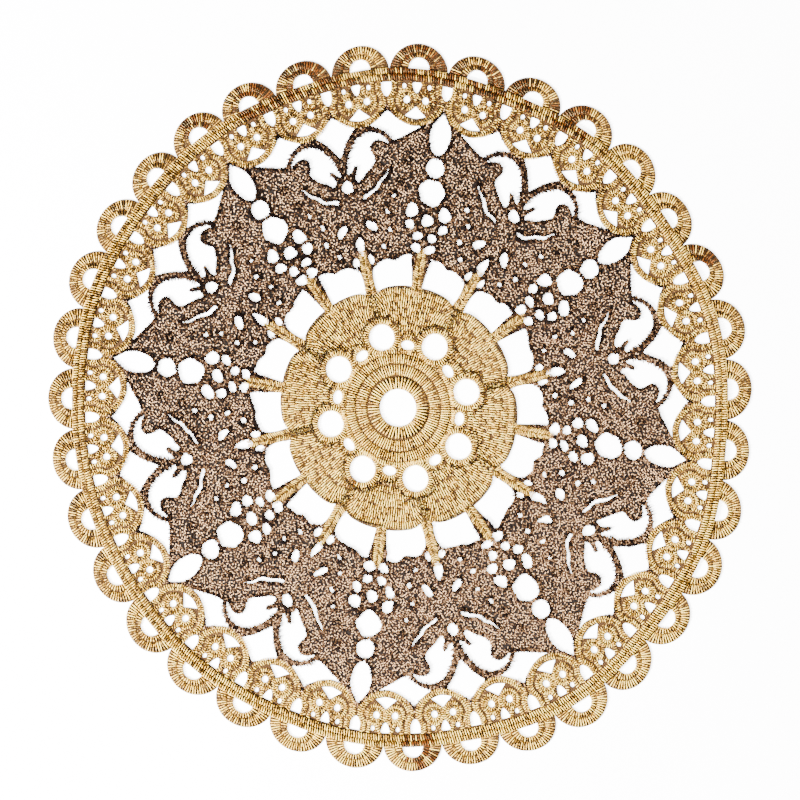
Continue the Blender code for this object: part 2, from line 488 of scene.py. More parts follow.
@dataclass
class Pattern:
    """The whole mat's outline, gaps and regions as they lie, in millimetres."""

    edge: Line = field(default_factory=list)
    gaps: list[Line] = field(default_factory=list)
    brown_gaps: list[tuple[int, Line]] = field(default_factory=list)
    wings: list[Line] = field(default_factory=list)
    boxes: np.ndarray = field(default_factory=lambda: np.zeros((0, 4)))
    tuck: float = 0.15
    spacing: float = 0.8
    centre_hole: float = 7.6
    centre_points: int = 48

    # the butterflies' reach: the spokes' tips, the gaps between spokes, and the ovals' lower sides
    spoke_tip: float = 66.0
    axis_spoke_tip: float = 65.2
    spoke_gap_middle: float = 57.0
    spoke_half_width: float = 2.4
    oval_centre: float = 129.5
    oval_radius: float = 12.4
    joint_reach: float = 126.0

    def __post_init__(self) -> None:
        """Lays every outline of the tables on the mat."""
        for middle in reversed(REPEATS.scallop_middles()):
            self.edge += LAY.rolled(GAPS.scallop_edge.drawn()[:-1], middle)
        turns = [360.0 * step / self.centre_points for step in range(self.centre_points)]
        self.gaps.append([LAY.place(self.centre_hole, turn) for turn in turns])
        for number, (axis, seam) in enumerate(zip(REPEATS.axes(), REPEATS.seams())):
            even = [LAY.upright(gap.drawn(self.spacing), axis) for gap in GAPS.on_axis()]
            even += [LAY.upright(gap.drawn(self.spacing), seam) for gap in GAPS.on_seam()]
            here = [[LAY.pulled(point) for point in gap] for gap in even]
            self.gaps += here
            self.brown_gaps += [(number, gap) for gap in here]
            self.wings.append(self.wing_region(axis))
        for middle in REPEATS.oval_middles():
            self.gaps += [LAY.rolled(gap.drawn(self.spacing), middle) for gap in GAPS.in_edging()]
            self.gaps.append(LAY.rolled(GAPS.joint.drawn(self.spacing), middle + 180.0 / REPEATS.ovals))
        for middle in REPEATS.scallop_middles():
            self.gaps.append(LAY.rolled(GAPS.scallop.drawn(self.spacing), middle))
        corners = [(*np.min(gap, axis=0), *np.max(gap, axis=0)) for gap in self.gaps]
        self.boxes = np.array(corners)

    def wing_region(self, axis: float) -> Line:
        """Draws the region that one butterfly takes, from seam to seam.

        Args:
            axis: The angle of its axis.

        Returns:
            The region as it lies.
        """
        half = 180.0 / REPEATS.butterflies
        narrow = math.degrees(self.spoke_half_width / self.spoke_gap_middle)
        inner = [(self.spoke_tip, -half), (self.spoke_tip, -half + narrow)]
        inner += [(self.spoke_gap_middle, -half + narrow), (self.spoke_gap_middle, -narrow)]
        inner += [(self.axis_spoke_tip, -narrow), (self.axis_spoke_tip, narrow)]
        inner += [(self.spoke_gap_middle, narrow), (self.spoke_gap_middle, half - narrow)]
        inner += [(self.spoke_tip, half - narrow), (self.spoke_tip, half)]
        outer: Line = []
        step = 180.0 / REPEATS.ovals
        for middle in (3 * step, step, -step, -3 * step):
            for share in (1.0, 0.8, 0.5, 0.0, -0.5, -0.8):
                aside = share * self.oval_radius
                reach = self.oval_centre - math.sqrt(max(0.0, self.oval_radius**2 - aside**2))
                outer.append((min(reach, self.joint_reach), middle + share * step))
        outer.append((self.joint_reach, -half))
        return [LAY.place(radius, axis + aside) for radius, aside in inner + outer]

    def in_gap(self, point: Point) -> bool:
        """Tests whether a point of the mat lies in a gap.

        Args:
            point: The point as it lies.

        Returns:
            Whether it does.
        """
        x, y = point
        left, low, right, high = self.boxes.T
        near = np.flatnonzero((left <= x) & (low <= y) & (right >= x) & (high >= y))
        return any(inside(point, self.gaps[number]) for number in near)


@dataclass
class Web:
    """The mat's flat face cut into triangles, with what each one belongs to."""

    points: list[Vector]
    triangles: list[list[int]]
    owners: list[set[int]]
    gaps: range

    @classmethod
    def of(cls, pattern: Pattern) -> Web:
        """Cuts up the face of a pattern.

        Args:
            pattern: The mat's outlines and regions.

        Returns:
            The triangles, each owned by 0 for the mat, then the gaps and the butterflies' regions.
            Its sides are tucked in, so that the stitches round it stand over them.
        """
        outlines = [offset(pattern.edge, -pattern.tuck)]
        outlines += [offset(gap, pattern.tuck) for gap in pattern.gaps]
        outlines += pattern.wings
        points: list[Vector] = []
        faces: list[list[int]] = []
        for outline in outlines:
            faces.append(list(range(len(points), len(points) + len(outline))))
            points += [Vector(point) for point in counterclockwise(outline)]
        made = delaunay_2d_cdt(points, [], faces, INSIDE_OUTLINES, ONE_WITHIN)
        return cls(made[0], made[2], [set(owner) for owner in made[5]], range(1, len(pattern.gaps) + 1))

    def cloth(self, wing: int | None = None) -> list[list[int]]:
        """Finds the triangles of cloth.

        Args:
            wing: The number of a butterfly, where only its triangles are wanted.

        Returns:
            The triangles.
        """
        kept = []
        for triangle, owner in zip(self.triangles, self.owners):
            if 0 not in owner or any(number in self.gaps for number in owner):
                continue
            if wing is None or self.gaps.stop + wing in owner:
                kept.append(triangle)
        return kept

    def brown(self) -> set[tuple[int, ...]]:
        """The triangles of all the butterflies."""
        return {tuple(face) for wing in range(REPEATS.butterflies) for face in self.cloth(wing)}

    def gold(self, inner: float, outer: float) -> list[list[int]]:
        """Finds the gold cloth of one band of the mat.

        Args:
            inner: Where the band starts, from the mat's middle.
            outer: Where it ends.

        Returns:
            The triangles.
        """
        brown = self.brown()
        kept = []
        for face in self.cloth():
            middle = sum((self.points[corner] for corner in face), Vector((0.0, 0.0))) / 3.0
            if inner < middle.length < outer and tuple(face) not in brown:
                kept.append(face)
        return kept

    def area(self) -> float:
        """Measures the cloth.

        Returns:
            Its area, in square metres.
        """
        total = 0.0
        for triangle in self.cloth():
            a, b, c = (self.points[corner] for corner in triangle)
            total += abs((b - a).cross(c - a)) / 2.0
        return total * MM * MM

    def sheet(self, low: float, high: float) -> bpy.types.Mesh:
        """Makes the cloth a closed sheet, its gaps open.

        Args:
            low: The height of its underside.
            high: The height of its top.

        Returns:
            The mesh, in metres. Its second material is for the butterflies.
        """
        cloth = self.cloth()
        brown = self.brown()
        used = sorted({corner for face in cloth for corner in face})
        number = {corner: place for place, corner in enumerate(used)}
        count = len(used)
        vertices = [(self.points[c].x * MM, self.points[c].y * MM, low * MM) for c in used]
        vertices += [(x, y, high * MM) for x, y, _ in vertices]
        faces: list[tuple[int, ...]] = []
        shades: list[int] = []
        sides: dict[tuple[int, int], int] = {}
        for face in cloth:
            a, b, c = (number[corner] for corner in face)
            shade = int(tuple(face) in brown)
            faces += [(c, b, a), (a + count, b + count, c + count)]
            shades += [shade, shade]
            for side in ((a, b), (b, c), (c, a)):
                sides[side] = shade
        for (start, end), shade in sides.items():
            if (end, start) not in sides:
                faces.append((start, end, end + count, start + count))
                shades.append(shade)
        mesh = bpy.data.meshes.new("ground_web")
        mesh.from_pydata(vertices, [], faces)
        mesh.polygons.foreach_set("material_index", shades)
        mesh.update()
        return mesh

    def bed(self, faces: list[list[int]]) -> bpy.types.Mesh:
        """Makes flat cloth for a filling to be scattered on.

        Args:
            faces: Which of the cloth's triangles to take.

        Returns:
            The mesh, in metres, with the sides along its gaps marked in the attribute rim.
        """
        shared: dict[frozenset[int], int] = {}
        for face in self.cloth():
            for side in zip(face, face[1:] + face[:1]):
                shared[frozenset(side)] = shared.get(frozenset(side), 0) + 1
        used = sorted({corner for face in faces for corner in face})
        number = {corner: place for place, corner in enumerate(used)}
        mesh = bpy.data.meshes.new("bed")
        flat = [(self.points[c].x * MM, self.points[c].y * MM, 0.0) for c in used]
        mesh.from_pydata(flat, [], [[number[corner] for corner in face] for face in faces])
        rim = mesh.attributes.new("rim", "FLOAT", "EDGE")
        marks = [
            float(shared[frozenset((used[edge.vertices[0]], used[edge.vertices[1]]))] == 1)
            for edge in mesh.edges
        ]
        rim.data.foreach_set("value", marks)
        return mesh


class Nodes:
    """The nodes of a tree as they are put together."""

    def __init__(self, tree: bpy.types.NodeTree) -> None:
        """Starts on a tree.

        Args:
            tree: The tree that the nodes go into.
        """
        self.tree = tree

    def add(
        self, kind: str, links: dict[str | int, object], output: str | int = 0, **settings: object
    ) -> bpy.types.NodeSocket:
        """Adds a node.

        Args:
            kind: The node's type.
            links: A socket or a value for each of its inputs.
            output: Which of its outputs is wanted.
            settings: The node's own settings.

        Returns:
            The wanted output.
        """
        node = self.tree.nodes.new(kind)
        for setting, value in settings.items():
            setattr(node, setting, value)
        for place, value in links.items():
            if isinstance(value, bpy.types.NodeSocket):
                self.tree.links.new(value, node.inputs[place])
            else:
                node.inputs[place].default_value = value
        return node.outputs[output]

    def math(self, operation: str, *values: object, clamp: bool = False) -> bpy.types.NodeSocket:
        """Adds a Math node, its result kept from 0 to 1 where clamp says so."""
        return self.add("ShaderNodeMath", dict(enumerate(values)), operation=operation, use_clamp=clamp)

    def parts(self, vector: bpy.types.NodeSocket) -> list[bpy.types.NodeSocket]:
        """Adds the three numbers of a vector."""
        return list(self.add("ShaderNodeSeparateXYZ", {0: vector}).node.outputs)


class Tree(Nodes):
    """A Geometry Nodes tree as it is put together."""

    def __init__(self, name: str, inputs: dict[str, tuple[str, object]]) -> None:
        """Starts a tree that changes one geometry.

        Args:
            name: The tree's name.
            inputs: The kind and first value of each input, by its name.
        """
        super().__init__(bpy.data.node_groups.new(name, "GeometryNodeTree"))
        face = self.tree.interface
        face.new_socket("Geometry", in_out="INPUT", socket_type="NodeSocketGeometry")
        face.new_socket("Geometry", in_out="OUTPUT", socket_type="NodeSocketGeometry")
        self.sockets: dict[str, str] = {}
        for label, (kind, value) in inputs.items():
            socket = face.new_socket(label, in_out="INPUT", socket_type=kind)
            if value is not None:
                socket.default_value = value
            self.sockets[label] = socket.identifier
        self.source = self.tree.nodes.new("NodeGroupInput")

    def input(self, label: str = "Geometry") -> bpy.types.NodeSocket:
        """One of the tree's own inputs."""
        return self.source.outputs[label]

    def chance(self, low: object, high: object, draw: float) -> bpy.types.NodeSocket:
        """Adds a random number between two values, its own for each point and each draw."""
        seed = self.math("ADD", self.input("Seed"), draw)
        return self.add("FunctionNodeRandomValue", {2: low, 3: high, 8: seed}, 1, data_type="FLOAT")

    def named(self, name: str) -> bpy.types.NodeSocket:
        """Adds the reading of an attribute of numbers."""
        return self.add("GeometryNodeInputNamedAttribute", {"Name": name}, data_type="FLOAT")

    def store(
        self, geometry: bpy.types.NodeSocket, name: str, value: bpy.types.NodeSocket,
        kind: str = "FLOAT", domain: str = "POINT",
    ) -> bpy.types.NodeSocket:
        """Adds the writing of an attribute.

        Args:
            geometry: What carries it.
            name: Its name.
            value: Its value.
            kind: The kind of value.
            domain: Whether each point or each instance has its own.

        Returns:
            The geometry with the attribute.
        """
        links = {"Geometry": geometry, "Name": name, "Value": value}
        return self.add("GeometryNodeStoreNamedAttribute", links, data_type=kind, domain=domain)

    def strand(self, sides: int, rings: int, bluntness: float) -> bpy.types.NodeSocket:
        """Adds one stitch: a closed strand of radius 1 along X, its place kept as strand.

        Args:
            sides: Its corners round.
            rings: Its steps from end to end.
            bluntness: Less than 1 gives it fuller ends.

        Returns:
            The stitch's geometry.
        """
        ball = self.add("GeometryNodeMeshUVSphere", {"Segments": sides, "Rings": rings, "Radius": 1.0})
        x, y, z = self.parts(self.add("GeometryNodeInputPosition", {}))
        fuller = self.math("POWER", self.math("ABSOLUTE", z), bluntness)
        along = self.math("MULTIPLY", self.math("SIGN", z), fuller)
        turned = self.add("ShaderNodeCombineXYZ", {0: along, 1: x, 2: y})
        strand = self.add("GeometryNodeSetPosition", {"Geometry": ball, "Position": turned})
        return self.store(strand, "strand", self.add("GeometryNodeInputPosition", {}), "FLOAT_VECTOR")

    def dress(self, stitches: bpy.types.NodeSocket, dropped: tuple[str, ...]) -> None:
        """Ends the tree with stitches made real, rounded and given their thread.

        Args:
            stitches: The instances.
            dropped: The attributes that nothing reads afterwards.
        """
        real = self.add("GeometryNodeRealizeInstances", {"Geometry": stitches})
        for name in dropped:
            real = self.add("GeometryNodeRemoveAttribute", {"Geometry": real, "Name": name})
        smooth = self.add("GeometryNodeSetShadeSmooth", {"Geometry": real})
        links = {"Geometry": smooth, "Material": self.input("Thread")}
        threaded = self.add("GeometryNodeSetMaterial", links)
        self.tree.links.new(threaded, self.tree.nodes.new("NodeGroupOutput").inputs[0])


def satin_tree(sides: int, rings: int) -> Tree:
    """Builds the tree that lays satin stitches across lines.

    Args:
        sides: The corners round each stitch.
        rings: Its steps from end to end.

    Returns:
        The tree. Its lines carry half_width, pitch, rise, slant, stray and painted_shade for each point.
    """
    tree = Tree("Satin stitches", {
        "Fullness": ("NodeSocketFloat", 0.41),
        "Loose angle": ("NodeSocketFloat", 4.0),
        "Uneven ends": ("NodeSocketFloat", 0.06),
        "Darkest": ("NodeSocketFloat", 0.0),
        "Lightest": ("NodeSocketFloat", 1.0),
        "Seed": ("NodeSocketInt", 1),
        "Thread": ("NodeSocketMaterial", None),
    })
    curve = tree.add("GeometryNodeMeshToCurve", {"Mesh": tree.input()})
    curve = tree.add(
        "GeometryNodeResampleCurve", {"Curve": curve, "Length": tree.named("pitch")}, mode="LENGTH"
    )
    east, north, _ = tree.parts(tree.add("GeometryNodeInputTangent", {}))
    heading = tree.math("ARCTAN2", north, east)
    loose = tree.math("RADIANS", tree.input("Loose angle"))
    jitter = tree.chance(tree.math("MULTIPLY", loose, -1.0), loose, 0.0)
    square = tree.math("ADD", tree.math("ADD", heading, math.pi / 2), tree.named("slant"))
    curve = tree.store(curve, "turn", tree.math("ADD", square, jitter))
    turn = tree.named("turn")
    stray = tree.math("MULTIPLY", tree.named("stray"), tree.chance(-1.0, 1.0, 3.0))
    aside = tree.add("ShaderNodeCombineXYZ", {
        0: tree.math("MULTIPLY", tree.math("COSINE", turn), stray),
        1: tree.math("MULTIPLY", tree.math("SINE", turn), stray),
    })
    curve = tree.add("GeometryNodeSetPosition", {"Geometry": curve, "Offset": aside})
    uneven = tree.input("Uneven ends")
    longer = tree.chance(tree.math("SUBTRACT", 1.0, uneven), tree.math("ADD", 1.0, uneven), 1.0)
    scale = tree.add("ShaderNodeCombineXYZ", {
        0: tree.math("MULTIPLY", tree.named("half_width"), longer),
        1: tree.math("MULTIPLY", tree.named("pitch"), tree.input("Fullness")),
        2: tree.named("rise"),
    })
    stitches = tree.add("GeometryNodeInstanceOnPoints", {
        "Points": curve,
        "Instance": tree.strand(sides, rings, bluntness=0.6),
        "Rotation": tree.add("ShaderNodeCombineXYZ", {2: turn}),
        "Scale": scale,
    })
    tone = tree.chance(tree.input("Darkest"), tree.input("Lightest"), 2.0)
    stitches = tree.store(stitches, "tone", tone, domain="INSTANCE")
    tree.dress(stitches, ("half_width", "pitch", "rise", "slant", "stray", "turn"))
    return tree


def filling_tree() -> Tree:
    """Builds the tree that scatters short crossing stitches over flat cloth.

    Returns:
        The tree. Its cloth carries rim, which is 1 on the sides along gaps.
    """
    tree = Tree("Filling stitches", {
        "Spacing": ("NodeSocketFloat", 0.0008),
        "Half length": ("NodeSocketFloat", 0.001),
        "Half thickness": ("NodeSocketFloat", 0.00036),
        "Spread": ("NodeSocketFloat", 25.0),
        "Lowest": ("NodeSocketFloat", 0.0003),
        "Highest": ("NodeSocketFloat", 0.0011),
        "Dark edge": ("NodeSocketFloat", 0.002),
        "Darkest": ("NodeSocketFloat", 0.0),
        "Lightest": ("NodeSocketFloat", 1.0),
        "Seed": ("NodeSocketInt", 1),
        "Thread": ("NodeSocketMaterial", None),
    })
    cloth = tree.input()
    spacing = tree.input("Spacing")
    length = tree.input("Half length")
    thickness = tree.input("Half thickness")
    # more points than there is room for, so that the spacing alone decides
    packed = tree.math("DIVIDE", 3.0, tree.math("MULTIPLY", spacing, spacing))
    points = tree.add(
        "GeometryNodeDistributePointsOnFaces",
        {"Mesh": cloth, "Distance Min": spacing, "Density Max": packed, "Seed": tree.input("Seed")},
        distribute_method="POISSON",
    )
    on_rim = tree.math("GREATER_THAN", tree.named("rim"), 0.5)
    rims = tree.add(
        "GeometryNodeSeparateGeometry", {"Geometry": cloth, "Selection": on_rim}, domain="EDGE"
    )
    nearest = tree.add("GeometryNodeProximity", {0: rims}, "Distance", target_element="EDGES")
    points = tree.store(points, "away", nearest)
    away = tree.named("away")
    close = tree.math("LESS_THAN", away, tree.math("MULTIPLY", length, 0.5))
    points = tree.add(
        "GeometryNodeDeleteGeometry", {"Geometry": points, "Selection": close}, domain="POINT"
    )
    height = tree.chance(tree.input("Lowest"), tree.input("Highest"), 1.0)
    lift = tree.add("ShaderNodeCombineXYZ", {2: height})
    points = tree.add("GeometryNodeSetPosition", {"Geometry": points, "Offset": lift})
    east, north, _ = tree.parts(tree.add("GeometryNodeInputPosition", {}))
    outward = tree.math("ARCTAN2", north, east)
    side = tree.math("SUBTRACT", tree.math("ROUND", tree.chance(0.0, 1.0, 2.0)), 0.5)
    spread = tree.math("RADIANS", tree.input("Spread"))
    jitter = tree.chance(tree.math("MULTIPLY", spread, -1.0), spread, 3.0)
    turn = tree.math("ADD", outward, tree.math("MULTIPLY", side, math.pi / 2))
    room = tree.math("MINIMUM", length, tree.math("ADD", away, thickness))
    stitches = tree.add("GeometryNodeInstanceOnPoints", {
        "Points": points,
        "Instance": tree.strand(sides=3, rings=3, bluntness=1.0),
        "Rotation": tree.add("ShaderNodeCombineXYZ", {2: tree.math("ADD", turn, jitter)}),
        "Scale": tree.add("ShaderNodeCombineXYZ", {0: room, 1: thickness, 2: thickness}),
    })
    deep = tree.math("MINIMUM", 1.0, tree.math("DIVIDE", tree.named("away"), tree.input("Dark edge")))
    shade = tree.chance(tree.input("Darkest"), tree.input("Lightest"), 4.0)
    tone = tree.math("MULTIPLY", shade, tree.math("SQRT", deep))
    tree.dress(tree.store(stitches, "tone", tone, domain="INSTANCE"), ("away", "rim"))
    return tree


def grown(tree: Tree, mesh: bpy.types.Mesh, name: str, values: Values) -> bpy.types.Object:
    """Runs a tree on a mesh and keeps what it makes as a plain piece.

    Args:
        tree: The tree.
        mesh: What it works on, which is thrown away.
        name: The piece's name.
        values: The tree's inputs by name.

    Returns:
        The piece.
    """
    piece = bpy.data.objects.new(name, mesh)
    bpy.context.scene.collection.objects.link(piece)
    modifier = piece.modifiers.new("Stitches", "NODES")
    modifier.node_group = tree.tree
    for label, value in values.items():
        modifier[tree.sockets[label]] = value
    depsgraph = bpy.context.evaluated_depsgraph_get()
    made = bpy.data.meshes.new_from_object(piece.evaluated_get(depsgraph))
    piece.modifiers.remove(modifier)
    piece.data = made
    made.name = name
    bpy.data.meshes.remove(mesh)
    return piece


@dataclass
class Row:
    """One row of satin stitches, laid across a line on the mat.

    Attributes:
        line: Where the middles of the stitches lie.
        half_width: Half a stitch's length, the same all along or one for each point.
        pitch: The distance from stitch to stitch.
        middle: The height of the stitches' middles.
        rise: How far they reach above and below it.
        slant: How far they lean from square, in degrees.
        painted_shade: How much painted reddish shade the stitches take, from 0 to 1, for each point or
        all along. At 2 every stitch takes it, the brightest too.
        closed: Whether the row goes round.
        stray: How far a stitch may start early or late, so that rows lock into each other.
    """

    line: Line
    half_width: float | list[float]
    pitch: float = 1.0
    middle: float = 0.7
    rise: float = 0.67
    slant: float = 0.0
    painted_shade: float | list[float] = 0.0
    closed: bool = False
    stray: float = 0.0


def runs(row: Row, kept: Callable[[Point], bool]) -> list[Row]:
    """Cuts a row into the runs where a test holds.

    Args:
        row: The row.
        kept: The test of a point.

    Returns:
        The runs, or the row itself where nothing is cut.
    """
    widths = row.half_width if isinstance(row.half_width, list) else [row.half_width] * len(row.line)
    marks = [kept(point) for point in row.line]
    if all(marks):
        return [row]
    made: list[Row] = []
    line: Line = []
    width: list[float] = []
    order = list(range(len(row.line)))
    if row.closed:
        first = marks.index(False)
        order = order[first:] + order[:first]
    for place in [*order, None]:
        if place is not None and marks[place]:
            line.append(row.line[place])
            width.append(widths[place])
        else:
            if len(line) > 1:
                made.append(replace(row, line=line, half_width=width, closed=False))
            line, width = [], []
    return made


def lines_mesh(rows: list[Row]) -> bpy.types.Mesh:
    """Puts rows into one mesh of lines with what the satin tree reads.

    Args:
        rows: The rows, in millimetres.

    Returns:
        The mesh, in metres.
    """
    vertices: list[tuple[float, float, float]] = []
    edges: list[tuple[int, int]] = []
    values: dict[str, list[float]] = {
        "half_width": [], "pitch": [], "rise": [], "slant": [], "painted_shade": [], "stray": []
    }
    for row in rows:
        start = len(vertices)
        count = len(row.line)
        vertices += [(x * MM, y * MM, row.middle * MM) for x, y in row.line]
        edges += [(start + step, start + step + 1) for step in range(count - 1)]
        if row.closed:
            edges.append((start + count - 1, start))
        widths = row.half_width if isinstance(row.half_width, list) else [row.half_width] * count
        painted_shade = row.painted_shade if isinstance(row.painted_shade, list) else [row.painted_shade] * count
        values["half_width"] += [width * MM for width in widths]
        values["pitch"] += [row.pitch * MM] * count
        values["rise"] += [row.rise * MM] * count
        values["slant"] += [math.radians(row.slant)] * count
        values["stray"] += [row.stray * MM] * count
        values["painted_shade"] += painted_shade
    mesh = bpy.data.meshes.new("lines")
    mesh.from_pydata(vertices, edges, [])
    for name, numbers in values.items():
        mesh.attributes.new(name, "FLOAT", "POINT").data.foreach_set("value", numbers)
    return mesh


class Surface(Nodes):
    """A material as it is put together."""

    def __init__(self, name: str, roughness: float, shine: float) -> None:
        """Starts a material.

        Args:
            name: Its name.
            roughness: Its roughness.
            shine: The strength of its highlights.
        """
        self.material = bpy.data.materials.new(name)
        self.material.use_nodes = True
        super().__init__(self.material.node_tree)
        self.shader = self.tree.nodes["Principled BSDF"]
        self.shader.inputs["Roughness"].default_value = roughness
        self.shader.inputs["Specular IOR Level"].default_value = shine
        self.place = self.add("ShaderNodeTexCoord", {}, "Object")

    def read(self, name: str, output: str = "Fac") -> bpy.types.NodeSocket:
        """Adds the reading of one of the stitches' own attributes."""
        return self.add("ShaderNodeAttribute", {}, output, attribute_name=name)

    def ramp(
        self, share: bpy.types.NodeSocket, stops: tuple[tuple[float, Colour], ...]
    ) -> bpy.types.NodeSocket:
        """Adds a run of shades.

        Args:
            share: Where on the run each spot stands, from 0 to 1.
            stops: Where each shade stands, and the shade. The ends of the run come first.

        Returns:
            The spot's shade.
        """
        shade = self.add("ShaderNodeValToRGB", {"Fac": share}, "Color")
        run = shade.node.color_ramp.elements
        for number, (position, colour) in enumerate(stops):
            stop = run[number] if number < 2 else run.new(position)
            stop.position = position
            stop.color = (*colour, 1.0)
        return shade

    def tinted(
        self, share: bpy.types.NodeSocket, under: bpy.types.NodeSocket, over: Colour, blend: str = "MIX"
    ) -> bpy.types.NodeSocket:
        """Adds one shade over another.

        Args:
            share: How much of it covers each spot, from 0 to 1.
            under: The shade underneath.
            over: The shade on top.
            blend: How the two are mixed.

        Returns:
            The mixed shade.
        """
        links = {"Factor": share, "A": under, "B": (*over, 1.0)}
        return self.add("ShaderNodeMix", links, "Result", data_type="RGBA", blend_type=blend)

    def finish(
        self, shade: bpy.types.NodeSocket, height: bpy.types.NodeSocket, depth: float, strength: float
    ) -> bpy.types.Material:
        """Ends the material.

        Args:
            shade: Its colour.
            height: Its relief, from 0 to 1.
            depth: The height of the relief, in metres.
            strength: How strongly the relief shows.

        Returns:
            The material.
        """
        links = {"Height": height, "Distance": depth, "Strength": strength}
        self.tree.links.new(shade, self.shader.inputs["Base Color"])
        self.tree.links.new(self.add("ShaderNodeBump", links, "Normal"), self.shader.inputs["Normal"])
        return self.material


@dataclass(frozen=True)
class ThreadFinish:
    """Embroidery thread: its shades from the darkest stitch to the brightest, its shine and its ply.

    Attributes:
        name: The material's name.
        shades: Where each shade stands from 0 to 1, and the shade.
        painted_shade: The painted reddish shade that the stitches take inside a patch.
        groove_shade: The painted shade deep between two stitches.
        roughness: The thread's roughness.
        shine: The strength of its highlights.
        glint: The shade of its highlights.
        ply: The height of the twisted plies, in metres.
        flecks: How strongly the shade changes from fibre to fibre.
        grain: How many fibres there are to a metre.
        flank_shade: Where the painted groove shade starts on a stitch's flank, and where it is darkest,
            from 0 to 1.
        tip: The same for its ends.
        side_gradient: How much lighter the thread is for each metre along X, Y and Z.
        patches: How many soft patches of dye there are to a metre, and how strong they are.
        twist: How close the plies are wound, and how uneven they are.
        twist_strength: How strongly the plies show.
        painted_shade_edge: How sharply the painted shade turns from stitch to stitch.
    """

    name: str
    shades: tuple[tuple[float, Colour], ...]
    painted_shade: Colour
    groove_shade: Colour
    roughness: float
    shine: float
    glint: Colour
    ply: float
    flecks: float
    grain: float
    flank_shade: Point
    tip: Point = (0.82, 1.0)
    side_gradient: tuple[float, float, float] = (0.34, -0.73, 0.0)
    patches: Point = (90.0, 0.4)
    twist: Point = (1.6, 1.0)
    twist_strength: float = 0.6
    painted_shade_edge: float = 4.0

    def material(self) -> bpy.types.Material:
        """Makes the material, which reads each stitch's tone, painted shade and strand.

        Returns:
            The material.
        """
        surface = Surface(self.name, self.roughness, self.shine)
        surface.shader.inputs["Specular Tint"].default_value = (*self.glint, 1.0)
        tone = surface.read("tone")
        shade = surface.ramp(self.shade(surface, tone), self.shades)
        # painted reddish shade: where a patch is weak, only its darker stitches take it
        weaker = surface.math("SUBTRACT", surface.read("painted_shade"), tone)
        turned = surface.math("MULTIPLY", weaker, self.painted_shade_edge, clamp=True)
        shade = surface.tinted(turned, shade, self.painted_shade, "MULTIPLY")
        strand = surface.read("strand", "Vector")
        # painted shade: darker towards each stitch's sides and ends
        shade = surface.tinted(self.groove_shade_mask(surface, strand), shade, self.groove_shade)
        links = {"Vector": strand, "Scale": self.twist[0], "Distortion": self.twist[1]}
        plies = surface.add("ShaderNodeTexWave", links, "Fac", bands_direction="DIAGONAL")
        return surface.finish(shade, plies, self.ply, self.twist_strength)

    def shade(self, surface: Surface, tone: bpy.types.NodeSocket) -> bpy.types.NodeSocket:
        """Adds the place of each spot in the run of shades.

        Args:
            surface: The material.
            tone: The stitch's own place.

        Returns:
            The place, from 0 for the darkest to 1 for the brightest.
        """
        # lighter towards the mat's lower right
        links = {0: surface.place, 1: self.side_gradient}
        graded = surface.add("ShaderNodeVectorMath", links, "Value", operation="DOT_PRODUCT")
        shade = surface.math("ADD", tone, graded)
        for scale, strength in (self.patches, (self.grain, self.flecks)):
            links = {"Vector": surface.place, "Scale": scale, "Detail": 2.0}
            noise = surface.add("ShaderNodeTexNoise", links, "Fac")
            shift = surface.math("MULTIPLY_ADD", noise, strength, -strength / 2.0)
            shade = surface.math("ADD", shade, shift, clamp=True)
        return shade

    def groove_shade_mask(self, surface: Surface, strand: bpy.types.NodeSocket) -> bpy.types.NodeSocket:
        """Adds the painted shade at a stitch's ends and sides, where it dives into the web.

        Args:
            surface: The material.
            strand: The place on the stitch.

        Returns:
            0 along the crest, 1 at the ends and the sides.
        """
        along, across, _ = surface.parts(strand)
        darkenings = []
        for number, (start, darkest_at) in ((along, self.tip), (across, self.flank_shade)):
            links = {"Value": surface.math("ABSOLUTE", number), "From Min": start, "From Max": darkest_at}
            darkenings.append(
                surface.add("ShaderNodeMapRange", links, "Result", interpolation_type="SMOOTHSTEP")
            )
        return surface.math("ADD", *darkenings, clamp=True)


@dataclass(frozen=True)
class GroundFinish:
    """The fine tangle of ground thread that the stitches hold together, near-black as painted shade.

    Attributes:
        name: The material's name.
        dark: The shade between the threads.
        light: The shade of the threads.
        roughness: The threads' roughness.
        shine: The strength of their highlights.
        leans: The direction of each set of threads, in degrees.
        threads: How many threads there are to a metre, roughly.
        tangle: How far they wander.
        tangle_scale: How long their bends are.
        relief: The height of the threads, in metres.
    """

    name: str
    dark: Colour
    light: Colour
    roughness: float = 0.8
    shine: float = 0.15
    leans: Point = (45.0, -45.0)
    threads: float = 420.0
    tangle: float = 6.0
    tangle_scale: float = 0.4
    relief: float = 0.0002

    def material(self) -> bpy.types.Material:
        """Makes the material: two crossing sets of fine threads, in near-black painted shade and in
        relief.

        Returns:
            The material.
        """
        surface = Surface(self.name, self.roughness, self.shine)
        heights = []
        for lean in self.leans:
            turned = surface.add(
                "ShaderNodeMapping",
                {"Vector": surface.place, "Rotation": (0.0, 0.0, math.radians(lean))},
            )
            links = {
                "Vector": turned, "Scale": self.threads, "Distortion": self.tangle,
                "Detail Scale": self.tangle_scale,
            }
            heights.append(surface.add("ShaderNodeTexWave", links, "Fac"))
        crossed = surface.math("MAXIMUM", *heights)
        shade = surface.ramp(crossed, ((0.0, self.dark), (1.0, self.light)))
        return surface.finish(shade, crossed, self.relief, 1.0)


